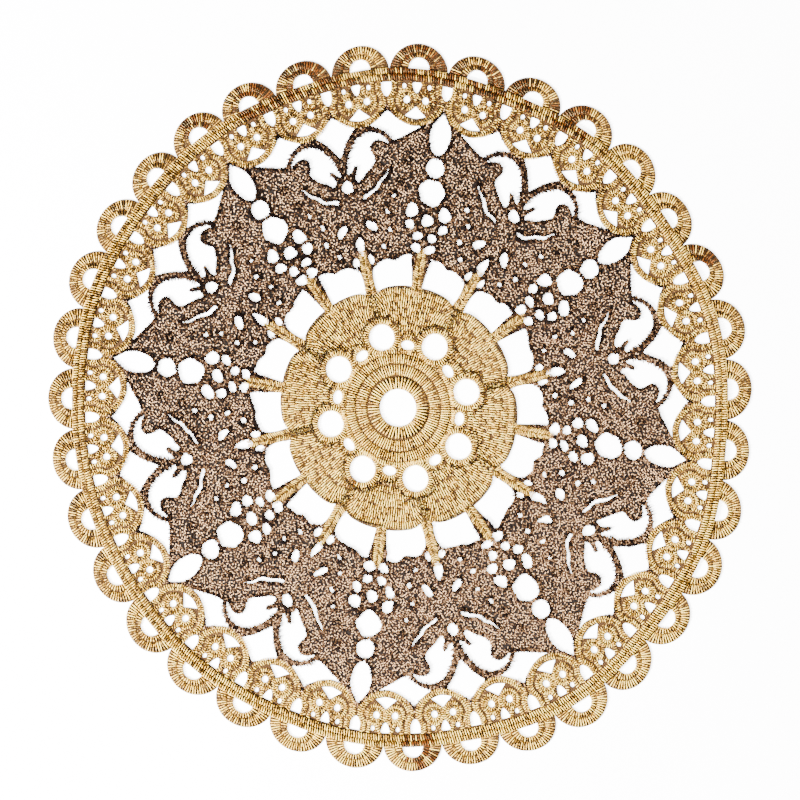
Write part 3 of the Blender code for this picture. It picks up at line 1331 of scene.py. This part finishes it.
GOLD_THREAD = ThreadFinish(
    name="old_gold_thread",
    shades=(
        (0.0, (0.014, 0.006, 0.001)),
        (1.0, (1.0, 0.69, 0.13)),
        (0.32, (0.1, 0.042, 0.005)),
        (0.54, (0.72, 0.34, 0.03)),
        (0.75, (1.0, 0.58, 0.075)),
    ),
    painted_shade=(0.2, 0.09, 0.07),
    groove_shade=(0.008, 0.003, 0.001),
    roughness=0.3,
    shine=0.6,
    glint=(1.0, 0.75, 0.35),
    ply=0.00012,
    flecks=2.6,
    grain=1400.0,
    flank_shade=(0.26, 0.66),
)
BROWN_THREAD = ThreadFinish(
    name="brown_bronze_thread",
    shades=(
        (0.0, (0.002, 0.001, 0.001)),
        (1.0, (0.95, 0.58, 0.3)),
        (0.42, (0.004, 0.002, 0.0015)),
        (0.57, (0.18, 0.086, 0.038)),
    ),
    painted_shade=(0.2, 0.09, 0.04),
    groove_shade=(0.002, 0.001, 0.001),
    roughness=0.6,
    shine=0.02,
    glint=(1.0, 0.85, 0.75),
    ply=0.0001,
    flecks=1.6,
    grain=2300.0,
    flank_shade=(0.45, 0.9),
)
# the ground's near-black colours are painted shade between and under the stitches
GOLD_GROUND_SHADE = GroundFinish("gold_ground_painted_shade", (0.006, 0.0025, 0.001), (0.05, 0.022, 0.005))
BROWN_GROUND_SHADE = GroundFinish("brown_ground_painted_shade", (0.002, 0.001, 0.001), (0.008, 0.005, 0.003))


@dataclass(frozen=True)
class PaintedShadePatches:
    """Where the gold thread of the edging takes a painted reddish shade."""

    most: float = 0.9
    middle: float = 1.4
    # angle, radius, reach
    places: tuple[tuple[float, float, float], ...] = (
        (85.8, 142.6, 23.0),
        (104.0, 141.0, 22.0),
        (59.4, 140.7, 14.0),
        (27.0, 144.0, 8.0),
        (125.8, 147.0, 9.0),
        (115.5, 143.0, 15.0),
        (-86.7, 144.5, 10.0),
        (72.0, 138.5, 20.0),
    )

    def at(self, point: Point) -> float:
        """Finds how much painted shade the thread takes.

        Args:
            point: A point of the mat.

        Returns:
            How much painted shade it takes there, from 0 to 1.
        """
        painted_shade = 0.0
        for angle, radius, reach in self.places:
            x, y = radius * math.cos(math.radians(angle)), radius * math.sin(math.radians(angle))
            away = math.hypot(point[0] - x, point[1] - y) / reach
            painted_shade = max(painted_shade, min(self.most, self.middle * (1.0 - away**2)))
        return painted_shade


PAINTED_SHADE_PATCHES = PaintedShadePatches()


def arc(radius: float, start: float, end: float, step: float) -> Line:
    """The points (radius, angle) of an arc of the even pattern, a step apart or less."""
    count = max(2, math.ceil(abs(end - start) / step) + 1)
    return [(radius, start + (end - start) * n / (count - 1)) for n in range(count)]


def laid(points: Line) -> Line:
    """Lays points (radius, angle) of the even pattern."""
    return [LAY.place(radius, angle) for radius, angle in points]


@dataclass
class Workshop:
    """What every part of the mat is stitched with: the pattern, trees and threads."""

    pattern: Pattern
    web: Web
    satin: Tree
    fine_satin: Tree
    filling: Tree
    threads: dict[Thread, bpy.types.Material]
    pieces: list[bpy.types.Object] = field(default_factory=list)

    def keep(self, piece: bpy.types.Object) -> bpy.types.Object:
        """Makes a piece part of the mat.

        Args:
            piece: The finished piece.

        Returns:
            The same piece.
        """
        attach(piece, BODY)
        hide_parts(NODE)
        self.pieces.append(piece)
        LOG.info("%s: %d triangles", piece.name, sum(face.loop_total - 2 for face in piece.data.polygons))
        return piece

    def made(self, tree: Tree, mesh: bpy.types.Mesh, name: str, thread: Thread, values: Values) -> None:
        """Runs a tree with a thread and keeps what it makes.

        Args:
            tree: The tree.
            mesh: What it works on.
            name: The piece's name.
            thread: The thread.
            values: Its other inputs by name.
        """
        self.keep(grown(tree, mesh, name, values | {"Thread": self.threads[thread]}))

    def stitched(self, name: str, rows: list[Row], thread: Thread, values: Values) -> None:
        """Stitches rows in satin and keeps them as one piece.

        Args:
            name: The piece's name.
            rows: The rows.
            thread: Their thread.
            values: The inputs of the satin tree by name.
        """
        tree = self.satin if thread is Thread.GOLD else self.fine_satin
        self.made(tree, lines_mesh(rows), name, thread, values)

    def filled(self, name: str, faces: list[list[int]], thread: Thread, values: Values) -> None:
        """Fills cloth with short crossing stitches and keeps them as one piece.

        Args:
            name: The piece's name.
            faces: The cloth's triangles.
            thread: The thread.
            values: The inputs of the filling tree by name.
        """
        self.made(self.filling, self.web.bed(faces), name, thread, values)


@dataclass
class Medallion:
    """The gold middle: satin rings, eight petal holes and a wide lobed flower."""

    # radius, half width, pitch, middle height, rise
    rings: tuple[tuple[float, float, float, float, float], ...] = (
        (10.3, 2.9, 1.15, 0.9, 1.15),
        (15.8, 2.6, 1.02, 0.72, 0.67),
        (20.4, 2.2, 1.0, 0.86, 0.82),
        (23.6, 1.25, 1.0, 0.7, 0.62),
    )
    petal_out: float = 29.9
    petal_ring: float = 6.5
    petal_half_width: float = 1.45
    petal_reach: float = 7.9
    petal_points: int = 24
    petal_painted_shade: float = 0.6
    bar_out: float = 26.3
    bar_ring: Point = (3.5, 2.6)
    bar_half_width: float = 0.85
    bar_reach: float = 4.2
    between_radii: tuple[float, ...] = (25.7, 28.4, 31.1, 33.8)
    between_half_turn: float = 21.5
    between_half_width: float = 1.5
    lobe_foot: float = 35.4
    lobe_edge: float = 50.3
    # depth and half width in degrees of the notch between two lobes, and how far their sides draw in
    notch: Point = (2.8, 4.5)
    drawn_in: float = 0.5
    half_lobe: float = 22.5
    row_half_turn: float = 22.0
    lobe_rows: int = 5
    overlap: float = 0.25
    lobe_stray: float = 0.9
    edge_stray: float = 0.3
    # the painted shade strokes along each seam: from and to, how many, half length and slant
    lobe_seam: Point = (38.4, 47.6)
    seam_points: int = 14
    seam_half_width: float = 1.0
    seam_slant: float = 35.0
    # where the cloth between and under the rows is filled
    filled_band: Point = (24.0, 52.0)
    # the painted shade strokes round the lobes' edge, how far in and how long, and how far aside the
    # seams' strokes lie
    edge_inset: float = 0.45
    edge_half_width: float = 0.62
    seam_aside: float = 0.85
    # distance from a hole's middle, turn each way from straight out, half length of the painted shade
    # strokes
    petal_shade_fan: tuple[float, float, float] = (8.7, 82.0, 1.0)
    bar_shade_fan: tuple[float, float, float] = (4.9, 60.0, 0.6)
    fan_points: int = 17

    def __post_init__(self) -> None:
        """Finds the middle of each hole, and how far the rows round it reach."""
        self.holes = [(LAY.place(self.petal_out, axis), self.petal_reach) for axis in REPEATS.axes()]
        self.holes += [(LAY.place(self.bar_out, seam), self.bar_reach) for seam in REPEATS.seams()]

    def free(self, point: Point) -> bool:
        """Whether a point is clear of the rows round the holes."""
        return all(math.dist(point, middle) > reach for middle, reach in self.holes)

    def edge(self, aside: float) -> float:
        """The reach of the lobes at an angle from a butterfly's axis."""
        notch = self.notch[0] * math.exp(-((aside / self.notch[1]) ** 2))
        return self.lobe_edge - notch - self.drawn_in * (aside / self.half_lobe) ** 4

    def petal(self, axis: float) -> Row:
        """Draws the ring round a petal hole, with painted reddish shade on its outer side.

        Args:
            axis: The angle of its butterfly's axis.

        Returns:
            The ring.
        """
        ring = oval_outline(0.0, self.petal_out, self.petal_ring, self.petal_ring, 0.0, self.petal_points)
        turns = [math.tau * n / self.petal_points for n in range(self.petal_points)]
        # painted shade on the ring's outer half
        painted_shade = [self.petal_painted_shade * max(0.0, math.sin(turn)) for turn in turns]
        line = LAY.upright(ring.points, axis)
        return Row(
            line, self.petal_half_width, pitch=0.95, middle=0.8, rise=0.7, painted_shade=painted_shade, closed=True
        )

    def lobe(self, seam: float) -> list[Row]:
        """Draws one lobe's rows, from its foot to its edge.

        Args:
            seam: The angle of its middle.

        Returns:
            The rows.
        """
        rows = []
        for number in range(self.lobe_rows):
            share = (number + 0.5) / self.lobe_rows
            points = []
            widths = []
            for aside in np.arange(-self.row_half_turn, self.row_half_turn + 0.5, 0.5).tolist():
                depth = self.edge(self.half_lobe - abs(aside)) - self.lobe_foot
                points.append((self.lobe_foot + depth * share, seam + aside))
                widths.append(depth / self.lobe_rows / 2.0 + self.overlap)
            stray = self.lobe_stray if number < self.lobe_rows - 1 else self.edge_stray
            rows += runs(Row(laid(points), widths, pitch=0.98, stray=stray), self.free)
        return rows

    def rows(self) -> list[Row]:
        """Draws every gold row of the medallion.

        Returns:
            The rows, from the middle outwards.
        """
        rows = [
            Row(laid(arc(radius, 0.0, 357.0, step=3.0)), half, pitch, middle, rise, closed=True)
            for radius, half, pitch, middle, rise in self.rings
        ]
        rows += [self.petal(axis) for axis in REPEATS.axes()]
        for seam in REPEATS.seams():
            bar = LAY.upright(oval_outline(0.0, self.bar_out, *self.bar_ring, points=16).points, seam)
            rows.append(Row(bar, self.bar_half_width, pitch=0.9, middle=0.8, rise=0.65, closed=True))
            start, end = seam - self.between_half_turn, seam + self.between_half_turn
            for radius in self.between_radii:
                line = laid(arc(radius, start, end, step=0.5))
                rows += runs(Row(line, self.between_half_width, pitch=0.98, stray=0.8), self.free)
            rows += self.lobe(seam)
        return rows

    def outlines(self) -> list[Row]:
        """Draws the painted shade: dark gold strokes along the lobes' edge and seams, and round the outer
        sides of the holes.

        Returns:
            The rows.
        """
        edge = []
        for turn in np.arange(0.0, 360.0, 0.5).tolist():
            aside = abs((turn + self.half_lobe) % (2.0 * self.half_lobe) - self.half_lobe)
            edge.append((self.edge(aside) - self.edge_inset, REPEATS.first_butterfly + turn))
        stroke = {"pitch": 1.05, "painted_shade": 2.0}
        rows = [Row(
            laid(edge), self.edge_half_width, middle=1.2, rise=0.4, slant=12.0, closed=True, **stroke
        )]
        outs = np.linspace(*self.lobe_seam, self.seam_points).tolist()
        for axis in REPEATS.axes():
            for side in (-1.0, 1.0):
                line = LAY.upright([(side * self.seam_aside, out) for out in outs], axis)
                slant = -side * self.seam_slant
                rows.append(Row(line, self.seam_half_width, middle=1.4, rise=0.45, slant=slant, **stroke))
            rows.append(self.shade_fan(axis, self.petal_out, *self.petal_shade_fan))
        rows += [self.shade_fan(seam, self.bar_out, *self.bar_shade_fan) for seam in REPEATS.seams()]
        return rows

    def shade_fan(self, angle: float, out: float, reach: float, half_turn: float, half_width: float) -> Row:
        """Fans dark strokes of painted shade round the outer side of a hole.

        Args:
            angle: The direction of the hole from the middle of the mat.
            out: The distance of its middle.
            reach: How far the strokes are from its middle.
            half_turn: How far round they go each way.
            half_width: Half a stroke's length.

        Returns:
            The row of strokes.
        """
        line = []
        for turn in np.linspace(-half_turn, half_turn, self.fan_points):
            across = reach * math.sin(math.radians(turn))
            line.append((across, out + reach * math.cos(math.radians(turn))))
        placed = LAY.upright(line, angle)
        return Row(placed, half_width, pitch=1.05, middle=1.3, rise=0.4, painted_shade=2.0, stray=0.2)

    def stitch(self, shop: Workshop) -> None:
        """Stitches the medallion.

        Args:
            shop: What it is stitched with.
        """
        # painted shade: the dark strokes, gold thread kept near-black
        shop.stitched("medallion_painted_shade", self.outlines(), Thread.GOLD, {
            "Seed": 12, "Fullness": 0.28, "Loose angle": 12.0, "Uneven ends": 0.4,
            "Darkest": -0.2, "Lightest": 0.2,
        })
        shop.stitched("medallion", self.rows(), Thread.GOLD, {
            "Seed": 11, "Loose angle": 5.0, "Darkest": 0.36, "Lightest": 1.1,
        })
        shop.filled("medallion_filling", shop.web.gold(*self.filled_band), Thread.GOLD, {
            "Seed": 15, "Spacing": 0.0011, "Half length": 0.001, "Half thickness": 0.0004,
            "Highest": 0.0005, "Lightest": 0.6,
        })


@dataclass
class Spokes:
    """Sixteen satin bars from the medallion to the butterflies, each of two slanted rows."""

    foot: float = 48.6
    tip: float = 66.6
    # distance out, half width
    taper: tuple[Point, ...] = ((47.0, 3.7), (51.0, 2.45), (62.0, 2.2), (67.0, 1.4))
    # how far aside each row lies and how wide it is, as shares of the half width
    aside_share: float = 0.48
    row_share: float = 0.56
    slant: float = 28.0
    points: int = 24

    def stitch(self, shop: Workshop) -> None:
        """Stitches the spokes.

        Args:
            shop: What they are stitched with.
        """
        rows = []
        outs = np.linspace(self.foot, self.tip, self.points)
        widths = np.interp(outs, *np.transpose(self.taper))
        halves = [self.row_share * float(width) for width in widths]
        for angle in REPEATS.axes() + REPEATS.seams():
            for side in (-1.0, 1.0):
                asides = [side * self.aside_share * float(width) for width in widths]
                line = LAY.upright(zip(asides, map(float, outs)), angle)
                rows.append(Row(line, halves, pitch=0.85, middle=0.74, rise=0.66, slant=side * self.slant))
        shop.stitched("spokes", rows, Thread.GOLD, {
            "Seed": 21, "Loose angle": 14.0, "Uneven ends": 0.25, "Darkest": 0.2,
        })


@dataclass
class Ovals:
    """The row of rounded windows, each with its rope, two rosettes and four legs."""

    centre: float = 129.5
    # rope radius, half width, slant
    ropes: tuple[tuple[float, float, float], ...] = ((10.45, 0.8, 18.0), (11.8, 0.8, -18.0))
    rope_end: float = 118.0
    rope_half_points: int = 20
    # depth, angle from the window's foot, and half width in degrees of the dip at the joint
    joint_dip: tuple[float, float, float] = (1.3, 100.0, 12.0)
    rosette_aside: float = 4.0
    rosette_out: float = 127.6
    rosette_height: float = 1.05
    # ring radius, half width, slant
    rosette: tuple[tuple[float, float, float], ...] = ((2.2, 0.85, 12.0), (3.8, 0.85, -12.0))
    # foot and head of each leg at the right, across and out
    legs: tuple[tuple[Point, Point], ...] = (((2.3, 134.9), (4.0, 131.2)), ((7.2, 134.9), (6.6, 131.0)))
    leg_half_width: float = 0.95
    # how much of the edging's painted shade shows here
    painted_shade: float = 0.7
    filled_band: Point = (112.0, 137.0)

    def rope(self, radius: float) -> Line:
        """Draws one strand of the rope round an oval.

        Args:
            radius: How far it is from the oval's middle.

        Returns:
            The line, (along the circle, out).
        """
        depth, dip_at, dip_width = self.joint_dip
        line = []
        for step in range(2 * self.rope_half_points + 1):
            turn = self.rope_end * (step / self.rope_half_points - 1.0)
            reach = radius - depth * math.exp(-(((abs(turn) - dip_at) / dip_width) ** 2))
            across = reach * math.sin(math.radians(turn))
            line.append((across, self.centre - reach * math.cos(math.radians(turn))))
        return line

    def oval(self, middle: float, pattern: Pattern) -> list[Row]:
        """Draws the rows of one oval.

        Args:
            middle: The angle of its middle.
            pattern: The mat, whose gaps the ropes and rosettes keep clear.

        Returns:
            The rows.
        """

        def clear(point: Point) -> bool:
            """Whether a point is on cloth."""
            return not pattern.in_gap(point)

        rows = []
        for radius, half_width, slant in self.ropes:
            line = LAY.rolled(self.rope(radius), middle)
            rows += runs(Row(line, half_width, pitch=1.0, middle=0.74, rise=0.64, slant=slant), clear)
        for side in (-1.0, 1.0):
            for radius, half_width, slant in self.rosette:
                across, high = side * self.rosette_aside, radius * self.rosette_height
                ring = oval_outline(across, self.rosette_out, radius, high, points=20)
                line = LAY.rolled(ring.points, middle)
                row = Row(line, half_width, pitch=0.95, middle=0.78, rise=0.62, slant=slant, closed=True)
                rows += runs(row, clear)
            for leg in self.legs:
                line = LAY.rolled([(side * across, out) for across, out in leg], middle)
                rows.append(Row(line, self.leg_half_width, pitch=0.95, middle=0.7, rise=0.62))
        return rows

    def stitch(self, shop: Workshop) -> None:
        """Stitches the ovals.

        Args:
            shop: What they are stitched with.
        """
        rows = [row for middle in REPEATS.oval_middles() for row in self.oval(middle, shop.pattern)]
        # the patches' painted reddish shade
        for row in rows:
            row.painted_shade = [self.painted_shade * PAINTED_SHADE_PATCHES.at(point) for point in row.line]
        shop.stitched("ovals", rows, Thread.GOLD, {
            "Seed": 31, "Loose angle": 8.0, "Uneven ends": 0.15, "Darkest": 0.18,
        })
        shop.filled("oval_filling", shop.web.gold(*self.filled_band), Thread.GOLD, {
            "Seed": 35, "Spacing": 0.0011, "Half length": 0.0009, "Half thickness": 0.00038,
            "Highest": 0.0006, "Dark edge": 0.001, "Lightest": 0.6,
        })


@dataclass
class Cord:
    """The raised double cord that carries the scallops."""

    radii: Point = (136.8, 139.4)
    half_width: float = 1.45
    slant: float = 9.0

    def stitch(self, shop: Workshop) -> None:
        """Stitches the cord.

        Args:
            shop: What it is stitched with.
        """
        rows = []
        for radius in self.radii:
            line = laid(arc(radius, 0.0, 359.0, step=1.0))
            # the patches' painted reddish shade
            painted_shade = [PAINTED_SHADE_PATCHES.at(point) for point in line]
            rows.append(Row(
                line, self.half_width, pitch=1.05, middle=1.0, rise=1.28, slant=self.slant,
                painted_shade=painted_shade, closed=True,
            ))
        shop.stitched("cord", rows, Thread.GOLD, {
            "Seed": 41, "Loose angle": 6.0, "Darkest": 0.28, "Lightest": 1.0,
        })


@dataclass
class Scallops:
    """The fans of long stitches round the rim, in two bands."""

    foot: float = 140.7
    half_turn: float = 92.0
    half_points: int = 16
    # half width and height of a scallop's inner and outer edge
    inner: Point = (4.0, 4.0)
    outer: Point = (12.4, 10.2)
    # where each band starts and ends, from the inner edge at 0 to the rim at 1
    bands: tuple[Point, ...] = ((0.0, 0.42), (0.38, 1.0))

    def band(self, middle: float, start: float, end: float) -> Row:
        """Draws one band of one scallop.

        Args:
            middle: The angle of the scallop's middle.
            start: Where the band starts, from the inner edge at 0 to the rim at 1.
            end: Where it ends.

        Returns:
            The row.
        """
        line = []
        widths = []
        for step in range(-self.half_points, self.half_points + 1):
            turn = math.radians(self.half_turn * step / self.half_points)
            inner, outer = (
                1.0 / math.hypot(math.sin(turn) / wide, math.cos(turn) / high)
                for wide, high in (self.inner, self.outer)
            )
            radius = inner + (outer - inner) * (start + end) / 2.0
            line.append((radius * math.sin(turn), self.foot + radius * math.cos(turn)))
            widths.append((outer - inner) * (end - start) / 2.0)
        placed = LAY.rolled(line, middle)
        # the patches' painted reddish shade
        painted_shade = [PAINTED_SHADE_PATCHES.at(point) for point in placed]
        return Row(placed, widths, pitch=1.0, middle=0.7, rise=0.64, painted_shade=painted_shade, stray=0.15)

    def stitch(self, shop: Workshop) -> None:
        """Stitches the scallops.

        Args:
            shop: What they are stitched with.
        """
        middles = REPEATS.scallop_middles()
        rows = [self.band(middle, start, end) for middle in middles for start, end in self.bands]
        shop.stitched("scallops", rows, Thread.GOLD, {
            "Seed": 51, "Loose angle": 5.0, "Darkest": 0.2, "Lightest": 0.95,
        })


@dataclass
class Butterflies:
    """The eight brown butterflies: crossing stitches, dark threads round every gap."""

    rim_away: float = 0.7
    rim_half_width: float = 1.05
    # across, out
    antenna: Outline = Outline(
        (
            (1.3, 101.8), (2.8, 106.6), (5.6, 110.9), (9.3, 114.1), (13.2, 115.2), (17.7, 113.9),
            (21.0, 111.2), (22.8, 107.8),
        ),
        closed=False,
    )
    antenna_half_width: float = 1.75
    # across, out of the closed rings
    rings: tuple[Point, ...] = ((22.6, 91.2), (27.5, 98.6))
    ring_radius: float = 1.5
    ring_half_width: float = 0.55

    def rims(self, pattern: Pattern, wing: int) -> list[Row]:
        """Draws the dark threads round the gaps of one butterfly.

        Args:
            pattern: The mat.
            wing: The butterfly's number.

        Returns:
            The rows, as far as they lie in its region.
        """
        region = pattern.wings[wing]

        def clear(point: Point) -> bool:
            """Whether a point is on this butterfly's cloth."""
            return inside(point, region) and not pattern.in_gap(point)

        rows: list[Row] = []
        for number, gap in pattern.brown_gaps:
            # only its own gaps and its neighbours' reach it
            if (number - wing + 1) % REPEATS.butterflies <= 2:
                row = Row(
                    offset(gap, self.rim_away), self.rim_half_width, pitch=0.9, middle=1.0, rise=0.6,
                    slant=25.0, closed=True,
                )
                rows += runs(row, clear)
        return rows

    def outlines(self, pattern: Pattern) -> list[Row]:
        """Draws the dark threads round every gap, the antennae and the closed rings.

        Args:
            pattern: The mat.

        Returns:
            The rows.
        """
        rows = [row for wing in range(REPEATS.butterflies) for row in self.rims(pattern, wing)]
        for axis in REPEATS.axes():
            for antenna in (self.antenna, self.antenna.twin()):
                line = LAY.upright(antenna.drawn(), axis)
                rows.append(Row(
                    line, self.antenna_half_width, pitch=0.85, middle=0.86, rise=0.5, slant=20.0
                ))
            for side in (-1.0, 1.0):
                for across, out in self.rings:
                    ring = oval_outline(side * across, out, self.ring_radius, self.ring_radius)
                    line = LAY.upright(ring.drawn(0.5), axis)
                    rows.append(Row(
                        line, self.ring_half_width, pitch=0.7, middle=1.35, rise=0.4, closed=True
                    ))
        return rows

    def stitch(self, shop: Workshop) -> None:
        """Stitches the butterflies.

        Args:
            shop: What they are stitched with.
        """
        under: list[list[int]] = []
        for wing in range(REPEATS.butterflies):
            cloth = shop.web.cloth(wing)
            under += cloth
            shop.filled(f"butterfly_{wing + 1}", cloth, Thread.BROWN, {
                "Seed": 61 + wing, "Spacing": 0.00085, "Half length": 0.00055,
                "Half thickness": 0.00033, "Lowest": 0.0009, "Darkest": 0.45, "Lightest": 1.1,
            })
        # painted shade: the layer under the top stitches is kept darker than the same thread on the
        # underside
        shop.filled("butterfly_shaded_underlay", under, Thread.BROWN, {
            "Seed": 71, "Spacing": 0.00115, "Half length": 0.001, "Half thickness": 0.0003,
            "Lowest": 0.0005, "Highest": 0.0008, "Lightest": 0.4,
        })
        shop.filled("butterfly_underside", under, Thread.BROWN, {
            "Seed": 72, "Spacing": 0.00115, "Half length": 0.0007, "Half thickness": 0.00033,
            "Lowest": 0.0003, "Highest": 0.0003, "Darkest": 0.45, "Lightest": 1.1,
        })
        shop.stitched("butterfly_outlines", self.outlines(shop.pattern), Thread.BROWN, {
            "Seed": 81, "Loose angle": 25.0, "Uneven ends": 0.3, "Lightest": 0.55,
        })


@dataclass
class Ground:
    """The web that all the stitches lie in."""

    low: float = 0.3
    high: float = 0.6
    flat: Point = (0.2975, 0.3075)

    def lay(self, shop: Workshop) -> None:
        """Args:
            shop: The pattern, and the stitches that lie on the web.
        """
        mesh = shop.web.sheet(self.low, self.high)
        # near-black ground: painted shade between the stitches
        mesh.materials.append(GOLD_GROUND_SHADE.material())
        mesh.materials.append(BROWN_GROUND_SHADE.material())
        piece = bpy.data.objects.new("ground_web", mesh)
        bpy.context.scene.collection.objects.link(piece)
        shop.keep(piece)
        shop.web.area()


@dataclass
class Studio:
    """The floor, the soft lights and the camera straight above."""

    photo_pixels: float = 800.0
    metres_per_pixel: float = 0.0004213
    mat_middle: Point = (400.0, 407.5)
    camera_height: float = 1.5
    sensor: float = 36.0
    floor_reach: float = 8.0
    floor_glow: float = 6.5
    world_glow: float = 0.8
    # name, place and size in metres, power in watts
    lamps: tuple[tuple[str, tuple[float, float, float], float, float], ...] = (
        ("main_light", (-1.15, -0.5, 1.05), 0.4, 340.0),
        ("fill_light", (0.9, 0.5, 1.4), 1.4, 18.0),
    )

    def set_up(self) -> None:
        """Places the floor, world, lights and camera."""
        self.floor()
        self.world()
        for name, place, size, power in self.lamps:
            self.lamp(name, place, size, power)
        self.camera()

    def floor(self) -> None:
        """Lays the plain pale floor."""
        reach = self.floor_reach
        mesh = bpy.data.meshes.new("floor")
        corners = [(-reach, -reach, 0.0), (reach, -reach, 0.0), (reach, reach, 0.0), (-reach, reach, 0.0)]
        mesh.from_pydata(corners, [], [(0, 1, 2, 3)])
        material = bpy.data.materials.new("pale_floor")
        material.use_nodes = True
        shader = material.node_tree.nodes["Principled BSDF"]
        shader.inputs["Base Color"].default_value = (0.92, 0.92, 0.93, 1.0)
        shader.inputs["Roughness"].default_value = 0.9
        shader.inputs["Emission Color"].default_value = (1.0, 1.0, 1.0, 1.0)
        shader.inputs["Emission Strength"].default_value = self.floor_glow
        mesh.materials.append(material)
        floor = bpy.data.objects.new("floor", mesh)
        bpy.context.scene.collection.objects.link(floor)

    def world(self) -> None:
        """Lights everything softly from all round."""
        world = bpy.data.worlds.new("studio")
        world.use_nodes = True
        background = world.node_tree.nodes["Background"]
        background.inputs["Color"].default_value = (1.0, 1.0, 1.0, 1.0)
        background.inputs["Strength"].default_value = self.world_glow
        bpy.context.scene.world = world

    @staticmethod
    def lamp(name: str, place: tuple[float, float, float], size: float, power: float) -> None:
        """Hangs a square soft light that faces the mat.

        Args:
            name: Its name.
            place: Where it hangs, in metres.
            size: Its side, in metres.
            power: Its power, in watts.
        """
        light = bpy.data.lights.new(name, "AREA")
        light.size = size
        light.energy = power
        lamp = bpy.data.objects.new(name, light)
        lamp.location = place
        lamp.rotation_euler = (-Vector(place)).to_track_quat("-Z", "Y").to_euler()
        bpy.context.scene.collection.objects.link(lamp)

    def camera(self) -> None:
        """Sets the camera straight above, with the mat where the photograph has it."""
        data = bpy.data.cameras.new("camera")
        data.sensor_width = self.sensor
        across = self.photo_pixels * self.metres_per_pixel
        data.lens = self.sensor * self.camera_height / across
        camera = bpy.data.objects.new("camera", data)
        aside = (self.photo_pixels / 2.0 - self.mat_middle[0]) * self.metres_per_pixel
        beyond = (self.mat_middle[1] - self.photo_pixels / 2.0) * self.metres_per_pixel
        camera.location = (aside, beyond, self.camera_height)
        bpy.context.scene.collection.objects.link(camera)
        bpy.context.scene.camera = camera


def main() -> None:
    """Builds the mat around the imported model."""
    logging.basicConfig(level=logging.INFO, format="%(name)s: %(message)s")
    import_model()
    pattern = Pattern()
    threads = {Thread.GOLD: GOLD_THREAD.material(), Thread.BROWN: BROWN_THREAD.material()}
    satin = satin_tree(sides=6, rings=3)
    fine_satin = satin_tree(sides=4, rings=3)
    shop = Workshop(pattern, Web.of(pattern), satin, fine_satin, filling_tree(), threads)
    for part in (Medallion(), Spokes(), Butterflies(), Ovals(), Cord(), Scallops()):
        part.stitch(shop)
    Ground().lay(shop)
    Studio().set_up()


if __name__ == "__main__":
    main()
